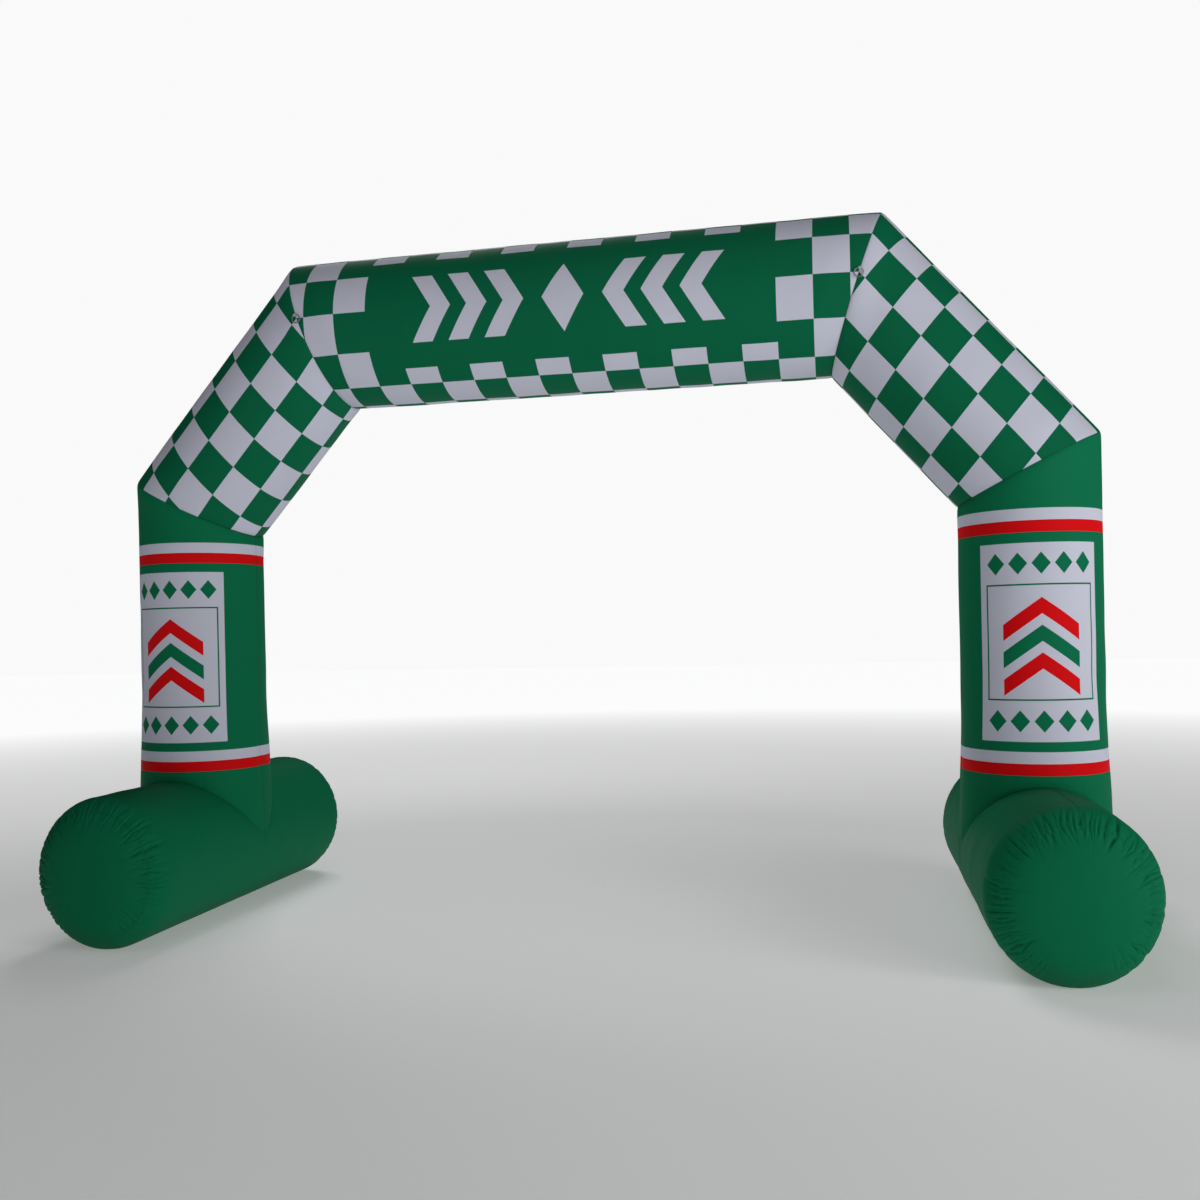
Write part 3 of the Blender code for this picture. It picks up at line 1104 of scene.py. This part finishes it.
@dataclass(frozen=True)
class BeamPrint(PlainPrint):
    """Chequer round a long green panel that carries white chevrons and a lozenge."""

    cell: float = 0.2042
    panel_cells: float = 6.0
    panel_rows: Span = (-0.5, 2.5)
    back_rows: Span = (-3.5, 5.5)
    centre_row: float = 1.0
    chevrons: int = 3
    chevron_start: float = 0.235
    chevron_pitch: float = 0.225
    chevron_stroke: float = 0.125
    chevron_slope: float = 0.62
    motif_half_height: float = 0.205
    lozenge_half_width: float = 0.125

    def inks(self, along: Field, girth: Field) -> Inks:
        """Returns the inks of the beam.

        Args:
            along: Metres along the beam from its left corner.
            girth: Metres round the beam, 0 at the front, positive upwards.

        Returns:
            The white ink.
        """
        centred = along - SIZES.beam_corner_x
        down = rows_down(girth, SIZES.beam_radius)
        checks = ((centred / self.cell).whole() + down.whole()).odd()
        back = down.within(*self.back_rows).inverse()
        panel = down.within(*self.panel_rows).either(back)
        panel = centred.size().below(self.cell * self.panel_cells) * panel
        return Inks(white=(checks * panel.inverse()).either(self.motif(centred.size(), down)))

    def motif(self, away: Field, down: Field) -> Field:
        """Returns the shapes on the front of the panel: chevrons towards a middle lozenge.

        Args:
            away: Metres from the middle of the beam.
            down: Rows below the top line.

        Returns:
            1 on the shapes and 0 elsewhere.
        """
        rise = ((down - self.centre_row) * (SIZES.beam_radius * ROW_TURN)).size()
        lead = away - rise * self.chevron_slope - self.chevron_start
        stroke = self.chevron_stroke / self.chevron_pitch
        bars = (lead / self.chevron_pitch).part().below(stroke)
        bars = bars * lead.within(0.0, self.chevrons * self.chevron_pitch)
        bars = bars * rise.below(self.motif_half_height)
        spread = away / self.lozenge_half_width + rise / self.motif_half_height
        return bars.either(spread.below(1.0))


@dataclass(frozen=True)
class DiagonalPrint(PlainPrint):
    """Chequer of a slanted tube, with rings a little wider apart than the beam's cells."""

    side: Side
    first_ring: float = 0.0439
    ring_pitch: float = 0.2231

    def inks(self, along: Field, girth: Field) -> Inks:
        """Returns the inks of a diagonal.

        Args:
            along: Metres along the tube from its upper corner, leaned with the rings.
            girth: Metres round the tube, 0 at the front, positive outwards.

        Returns:
            The white ink.
        """
        down = rows_down(girth, SIZES.diagonal_radius)
        ring = ((along - self.first_ring) / self.ring_pitch).whole()
        odd = (ring + down.whole()).odd()
        return Inks(white=odd.inverse() if self.side is Side.LEFT else odd)


@dataclass(frozen=True)
class LegPrint(PlainPrint):
    """Two white and red bands round the leg, and a white panel with chevrons on its front."""

    band_tops: Span = (2.375, 1.055)
    band_height: float = 0.0645
    panel: Span = (1.109, 2.189)
    panel_half_width: float = 0.338
    frame_inset: float = 0.038
    frame_drop: float = 0.222
    frame_line: float = 0.009
    lozenge_pitch: float = 0.121
    lozenges: float = 5.0
    lozenge_half: Span = (0.050, 0.060)
    chevrons: int = 3
    chevron_first: float = 1.505
    chevron_pitch: float = 0.150
    chevron_stroke: float = 0.088
    chevron_slope: float = 0.72
    chevron_half_width: float = 0.205

    def inks(self, along: Field, girth: Field) -> Inks:
        """Returns the inks of a leg.

        Args:
            along: Height above the floor, in metres.
            girth: Metres round the leg, 0 at the front.

        Returns:
            The white and the red ink.
        """
        upper, lower = self.band_tops
        away = girth.size()
        panel = along.within(*self.panel) * away.below(self.panel_half_width)
        first, second, third = (self.chevron(along, away, n) for n in range(self.chevrons))
        green = self.frame(along, away).either(self.lozenge_rows(along, girth)).either(second)
        white = self.band(along, upper).either(self.band(along, lower))
        red = self.band(along, upper - self.band_height)
        red = red.either(self.band(along, lower - self.band_height))
        return Inks(white.either(panel * green.inverse()), red.either(first.either(third)))

    def band(self, along: Field, top: float) -> Field:
        """Returns a band of one ink round the leg."""
        return along.within(top - self.band_height, top)

    def chevron(self, along: Field, away: Field, index: int) -> Field:
        """Returns one chevron of the stack that points up."""
        low = self.chevron_first + index * self.chevron_pitch
        lead = along + away * self.chevron_slope
        return lead.within(low, low + self.chevron_stroke) * away.below(self.chevron_half_width)

    def frame(self, along: Field, away: Field) -> Field:
        """Returns the thin frame line inside the panel.

        Args:
            along: Height above the floor.
            away: Metres round the leg from its front.

        Returns:
            1 on the line and 0 elsewhere.
        """
        low = self.panel[0] + self.frame_drop
        high = self.panel[1] - self.frame_drop
        wide = self.panel_half_width - self.frame_inset
        line = self.frame_line
        outer = along.within(low, high) * away.below(wide)
        inner = along.within(low + line, high - line) * away.below(wide - line)
        return outer * inner.inverse()

    def lozenge_rows(self, along: Field, girth: Field) -> Field:
        """Returns the two rows of lozenges above and below the frame.

        Args:
            along: Height above the floor.
            girth: Metres round the leg, 0 at the front.

        Returns:
            1 on the lozenges and 0 elsewhere.
        """
        step = ((girth / self.lozenge_pitch + 0.5).part() - 0.5).size() * self.lozenge_pitch
        middle = (self.panel[0] + self.panel[1]) / 2.0
        offset = (self.panel[1] - self.panel[0]) / 2.0 - self.frame_drop / 2.0
        height = ((along - middle).size() - offset).size()
        spread = step / self.lozenge_half[0] + height / self.lozenge_half[1]
        return spread.below(1.0) * girth.size().below(self.lozenges * self.lozenge_pitch / 2.0)


# ---- Finishes ----


@dataclass(frozen=True)
class ClothFinish:
    """Satin coated cloth in three inks, with its weave, stitches and slight wear.

    Each noise is a pair of its scale and its detail. Dirt and painted shade of the seams'
    grooves darken the cloth within the given reach of a seam, and the soil lies below soil_height.
    """

    green: Colour = (0.0038, 0.145, 0.064)
    white: Colour = (0.672, 0.680, 0.800)
    red: Colour = (0.80, 0.0025, 0.0065)
    faded: Colour = (0.020, 0.110, 0.065)
    faded_share: float = 0.06
    cloud_noise: Span = (1.3, 4.0)
    # Dirt and painted shade along the seams: the seam groove's shade is painted darker, with dirt,
    # near each seam.
    seam_dirt_and_shade: Colour = (0.004, 0.018, 0.011)
    seam_dirt_and_shade_share: float = 0.40
    seam_dirt_and_shade_reach: float = 0.004
    soil: Colour = (0.045, 0.050, 0.035)
    soil_share: float = 0.45
    soil_height: float = 0.16
    soil_noise: Span = (9.0, 5.0)
    roughness: float = 0.55
    roughness_spread: float = 0.14
    roughness_noise: Span = (3.1, 3.0)
    gloss: float = 0.02
    thread_pitch: float = 0.0011
    thread_height: float = 0.00004
    thread_strength: float = 0.6
    stitch_rows: Span = (0.0065, 0.0125)
    stitch_pitch: float = 0.00609
    stitch_share: float = 0.69
    stitch_width: float = 0.0007
    stitch_depth: float = 0.0006
    fold_height: float = 0.010
    fold_strength: float = 0.35
    fold_noise: Span = (2.6, 6.0)

    def build(self, name: str, pattern: PlainPrint) -> bpy.types.Material:
        """Makes the material of one printed section.

        Args:
            name: The material's name.
            pattern: The print.

        Returns:
            The material.
        """
        paint = Paint(name)
        along, girth = paint.uv_pair(CLOTH_MAP)
        run, edge = paint.uv_pair(SEAM_MAP)
        inks = pattern.inks(along, girth)
        colour = paint.mix(inks.white, self.green, self.white)
        colour = paint.mix(inks.red, colour, self.red)
        least_rough = self.roughness - self.roughness_spread / 2.0
        rough = paint.noise(*self.roughness_noise) * self.roughness_spread + least_rough
        return paint.finish({
            "Base Color": self._worn(paint, colour, edge),
            "Roughness": rough,
            "Specular IOR Level": self.gloss,
            "Normal": self._relief(paint, self._weave(along, girth), run, edge),
        })

    def _worn(self, paint: Paint, colour: Field, edge: Field) -> Field:
        """Adds cloudy fading, dirt and painted shade along the seams, and soil near the floor.

        Args:
            paint: The material.
            colour: The colours of the print.
            edge: Distances from the nearest seam.

        Returns:
            The colours of the worn cloth.
        """
        clouds = paint.noise(*self.cloud_noise) * self.faded_share
        faded = paint.mix(clouds, colour, self.faded)
        # Painted shade of each seam's groove, with dirt: darker within the reach of the seam.
        line = (edge / self.seam_dirt_and_shade_reach).inverse().either(0.0) * self.seam_dirt_and_shade_share
        with_seam_dirt_and_shade = paint.mix(line, faded, self.seam_dirt_and_shade)
        height = paint.parts(paint.place())[2]
        low = (height / self.soil_height).inverse().either(0.0)
        soiled = low * paint.noise(*self.soil_noise) * self.soil_share
        return paint.mix(soiled, with_seam_dirt_and_shade, self.soil)

    def _weave(self, along: Field, girth: Field) -> Field:
        """Returns the height of the threads at metres along the cloth and across it."""
        turn = FULL_TURN / self.thread_pitch
        return (along * turn).apply("SINE") * (girth * turn).apply("SINE") * self.thread_height

    def _relief(self, paint: Paint, weave: Field, run: Field, edge: Field) -> Field:
        """Returns the normal with the weave, the stitches and faint storage creases.

        Args:
            paint: The material.
            weave: The height of the threads.
            run: Metres along the nearest seam.
            edge: Distances from it.

        Returns:
            The normal.
        """
        first, second = ((edge - row).size().below(self.stitch_width) for row in self.stitch_rows)
        dash = (run / self.stitch_pitch).part().below(self.stitch_share)
        height = weave + first.either(second) * dash * -self.stitch_depth
        threads = paint.bump(height, self.thread_strength, distance=1.0)
        folds = paint.noise(*self.fold_noise)
        return paint.bump(folds, self.fold_strength, self.fold_height, Normal=threads)


@dataclass(frozen=True)
class WebbingFinish:
    """Pale woven webbing of the tether tabs."""

    colour: Colour = (0.56, 0.56, 0.58)
    shade: Colour = (0.42, 0.42, 0.435)
    rib: float = 0.0022
    rib_waviness: float = 1.5
    rib_height: float = 0.0004
    rib_strength: float = 0.5
    roughness: float = 0.85

    def build(self) -> bpy.types.Material:
        """Makes the webbing's material."""
        paint = Paint("tab_webbing")
        scale = 1.0 / (3.0 * self.rib)
        inputs = {"Scale": scale, "Distortion": self.rib_waviness, "Vector": paint.place()}
        ribs = Field(paint.tree, paint.node("TexWave", inputs).outputs["Fac"])
        return paint.finish({
            "Base Color": paint.mix(ribs, self.colour, self.shade),
            "Roughness": self.roughness,
            "Normal": paint.bump(ribs, self.rib_strength, self.rib_height),
        })


@dataclass(frozen=True)
class SteelFinish:
    """Brushed, slightly dulled steel of the tether rings."""

    bright: Colour = (0.42, 0.43, 0.44)
    dull: Colour = (0.20, 0.20, 0.20)
    brush_noise: Span = (140.0, 4.0)
    roughness: float = 0.34

    def build(self) -> bpy.types.Material:
        """Makes the steel's material."""
        paint = Paint("ring_steel")
        colour = paint.mix(paint.noise(*self.brush_noise), self.bright, self.dull)
        return paint.finish({"Base Color": colour, "Metallic": 1.0, "Roughness": self.roughness})


# ---- Sub-assemblies ----


@dataclass
class Arch:
    """All the sections of the arch and the hardware at its upper seams."""

    finish: ClothFinish = ClothFinish()
    plain_green: Colour = (0.0044, 0.177, 0.077)
    # Share of the dirt and painted shade along the feet's seams, fainter than elsewhere.
    foot_seam_dirt_and_shade_share: float = 0.10
    diagonal_ring_tilt: float = 0.1694
    beam_undulation: Undulation = Undulation(0.0022, 5)
    diagonal_undulation: Undulation = Undulation(0.0018, 31)
    leg_undulation: Undulation = Undulation(0.0018, 41)
    foot_undulation: Undulation = Undulation(0.0026, 61)

    def build(self) -> None:
        """Builds and dresses every section."""
        self._beam()
        for side in Side:
            self._diagonal(side)
            self._leg(side)
            self._foot(side)
            self._hardware(side)

    def _own(self, undulation: Undulation, side: Side) -> Undulation:
        """Returns the unevenness of one side, which differs from the other side's."""
        return replace(undulation, seed=undulation.seed + side.value)

    def _beam(self) -> None:
        """Builds the level beam between the two upper seams."""
        section = MitredTube(
            node="beam",
            tube=HalfArch(Side.RIGHT).beam,
            start=SeamEnd(HalfArch(Side.LEFT).upper_seam, UPPER_PUCKERS),
            end=SeamEnd(HalfArch(Side.RIGHT).upper_seam, UPPER_PUCKERS),
            undulation=self.beam_undulation,
        )
        section.sew(self.finish.build("beam_print", BeamPrint()), Slot.PRINTED)

    def _diagonal(self, side: Side) -> None:
        """Builds a slanted tube."""
        half = HalfArch(side)
        section = MitredTube(
            node="diagonal_" + side.label,
            tube=half.diagonal,
            start=SeamEnd(half.upper_seam, UPPER_PUCKERS),
            end=SeamEnd(half.lower_seam, LOWER_PUCKERS),
            undulation=self._own(self.diagonal_undulation, side),
            ring_tilt=self.diagonal_ring_tilt,
        )
        material = self.finish.build("diagonal_print_" + side.label, DiagonalPrint(side))
        section.sew(material, Slot.PRINTED)

    def _leg(self, side: Side) -> None:
        """Builds an upright leg."""
        undulation = self._own(self.leg_undulation, side)
        section = Leg("leg_" + side.label, half=HalfArch(side), undulation=undulation)
        cloth = replace(self.finish, green=self.plain_green)
        section.sew(cloth.build("leg_print_" + side.label, LegPrint()), Slot.GREEN)

    def _foot(self, side: Side) -> None:
        """Builds a foot and its two gathered ends."""
        # The feet's seams carry fainter dirt and painted shade.
        faint = replace(self.finish, green=self.plain_green, seam_dirt_and_shade_share=self.foot_seam_dirt_and_shade_share)
        cloth = faint.build("foot_cloth_" + side.label, PlainPrint())
        undulation = self._own(self.foot_undulation, side)
        Foot("foot_" + side.label, side=side, undulation=undulation).sew(cloth, Slot.GREEN)
        for end in End:
            node = f"end_cap_{side.label}_{end.label}"
            EndCap(node, side=side, end=end).sew(cloth, Slot.GREEN)

    def _hardware(self, side: Side) -> None:
        """Dresses the tether tab and ring that the solids already have."""
        finishes = (("tether_tab_", WebbingFinish()), ("tether_ring_", SteelFinish()))
        for prefix, finish in finishes:
            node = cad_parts[prefix + side.label]
            node.data.materials.clear()
            node.data.materials.append(finish.build())
            LOG.info("%s dressed", node.name)


@dataclass(frozen=True)
class SoftLight:
    """A square soft light: its place, the point it faces, its sides in metres and its watts."""

    name: str
    place: Point
    aim: Point
    size: float
    power: float

    def hang(self) -> None:
        """Adds the light."""
        data = bpy.data.lights.new(self.name, "AREA")
        data.size = self.size
        data.energy = self.power
        lamp = bpy.data.objects.new(self.name, data)
        lamp.location = self.place
        way = Vector(self.aim) - Vector(self.place)
        lamp.rotation_euler = way.to_track_quat("-Z", "Y").to_euler()
        bpy.context.scene.collection.objects.link(lamp)


@dataclass
class Studio:
    """Pale floor, soft lights and the camera at the photograph's angle.

    The floor's own brightness grows from floor_glow's first value to its second over
    glow_reach, so that the floor meets the sky without a line.
    """

    camera_place: Point = (1.5394, -6.8808, 1.717)
    camera_turn_deg: Point = (89.914, 1.1574, 11.6809)
    lens: float = 34.114
    sensor: float = 36.0
    shift: Span = (-0.00417, 0.0333)
    view_limit: float = 500.0
    floor_size: float = 120.0
    floor_place: Point = (0.0, 0.0, -0.0005)
    floor_colour: Colour = (0.92, 0.92, 0.92)
    floor_roughness: float = 0.9
    floor_glow: Span = (0.21, 0.93)
    glow_reach: Span = (4.0, 20.0)
    white: Colour = (1.0, 1.0, 1.0)
    sky_light: Colour = (0.93, 0.96, 1.0)
    sky_strength: float = 0.045
    sky_shown: float = 0.95
    lights: tuple[SoftLight, ...] = (
        SoftLight("key", (8.5, -9.5, 2.3), (0.8, 0.0, 1.0), 3.6, 212.0),
        SoftLight("side", (9.0, -4.8, 3.4), (0.6, 0.0, 1.6), 3.4, 180.0),
        SoftLight("over", (0.5, -3.0, 8.5), (0.0, 0.0, 1.8), 5.0, 38.0),
        SoftLight("back", (-3.0, 6.0, 9.0), (0.0, 0.0, 1.8), 5.0, 280.0),
    )

    def build(self) -> None:
        """Makes the camera, the floor, the sky and the lights."""
        self._camera()
        self._floor()
        self._sky()
        for light in self.lights:
            light.hang()
        view = bpy.context.scene.view_settings
        view.view_transform = "Standard"
        view.look = "None"

    def _camera(self) -> None:
        """Places the camera."""
        data = bpy.data.cameras.new("camera")
        data.lens = self.lens
        data.sensor_width = self.sensor
        data.shift_x, data.shift_y = self.shift
        data.clip_end = self.view_limit
        camera = bpy.data.objects.new("camera", data)
        camera.location = self.camera_place
        camera.rotation_euler = [math.radians(angle) for angle in self.camera_turn_deg]
        bpy.context.scene.collection.objects.link(camera)
        bpy.context.scene.camera = camera

    def _floor(self) -> None:
        """Lays the floor."""
        bpy.ops.object.select_all(action="DESELECT")
        bpy.ops.mesh.primitive_plane_add(size=self.floor_size, location=self.floor_place)
        floor = bpy.context.object
        floor.name = "studio_floor"
        paint = Paint("floor_paint")
        floor.data.materials.append(paint.finish({
            "Base Color": self.floor_colour,
            "Roughness": self.floor_roughness,
            "Emission Color": self.white,
            "Emission Strength": self._glow(paint),
        }))

    def _glow(self, paint: Paint) -> Field:
        """Returns the strength of the floor's own brightness."""
        reach = paint.node("VectorMath")
        reach.operation = "LENGTH"
        paint.place().feed(reach.inputs[0])
        near, far = self.glow_reach
        low, high = self.floor_glow
        share = (Field(paint.tree, reach.outputs["Value"]) - near) / (far - near)
        return share.either(0.0).apply("MINIMUM", 1.0) * (high - low) + low

    def _sky(self) -> None:
        """Sets a soft even light that shows as white behind the arch."""
        world = bpy.data.worlds.new("studio")
        bpy.context.scene.world = world
        world.use_nodes = True
        tree = world.node_tree
        light = tree.nodes["Background"]
        shown = tree.nodes.new("ShaderNodeBackground")
        skies = ((light, self.sky_light, self.sky_strength), (shown, self.white, self.sky_shown))
        for sky, colour, strength in skies:
            fill(sky.inputs["Color"], colour)
            fill(sky.inputs["Strength"], strength)
        path = tree.nodes.new("ShaderNodeLightPath")
        mix = tree.nodes.new("ShaderNodeMixShader")
        sources = (path.outputs["Is Camera Ray"], light.outputs[0], shown.outputs[0])
        for source, socket in zip(sources, mix.inputs):
            tree.links.new(source, socket)
        tree.links.new(mix.outputs[0], tree.nodes["World Output"].inputs[0])


def main() -> None:
    """Builds the studio and the arch in order."""
    logging.basicConfig(level=logging.INFO, format="%(name)s: %(message)s")
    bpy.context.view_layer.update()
    Studio().build()
    Arch().build()


if __name__ == "__main__":
    main()
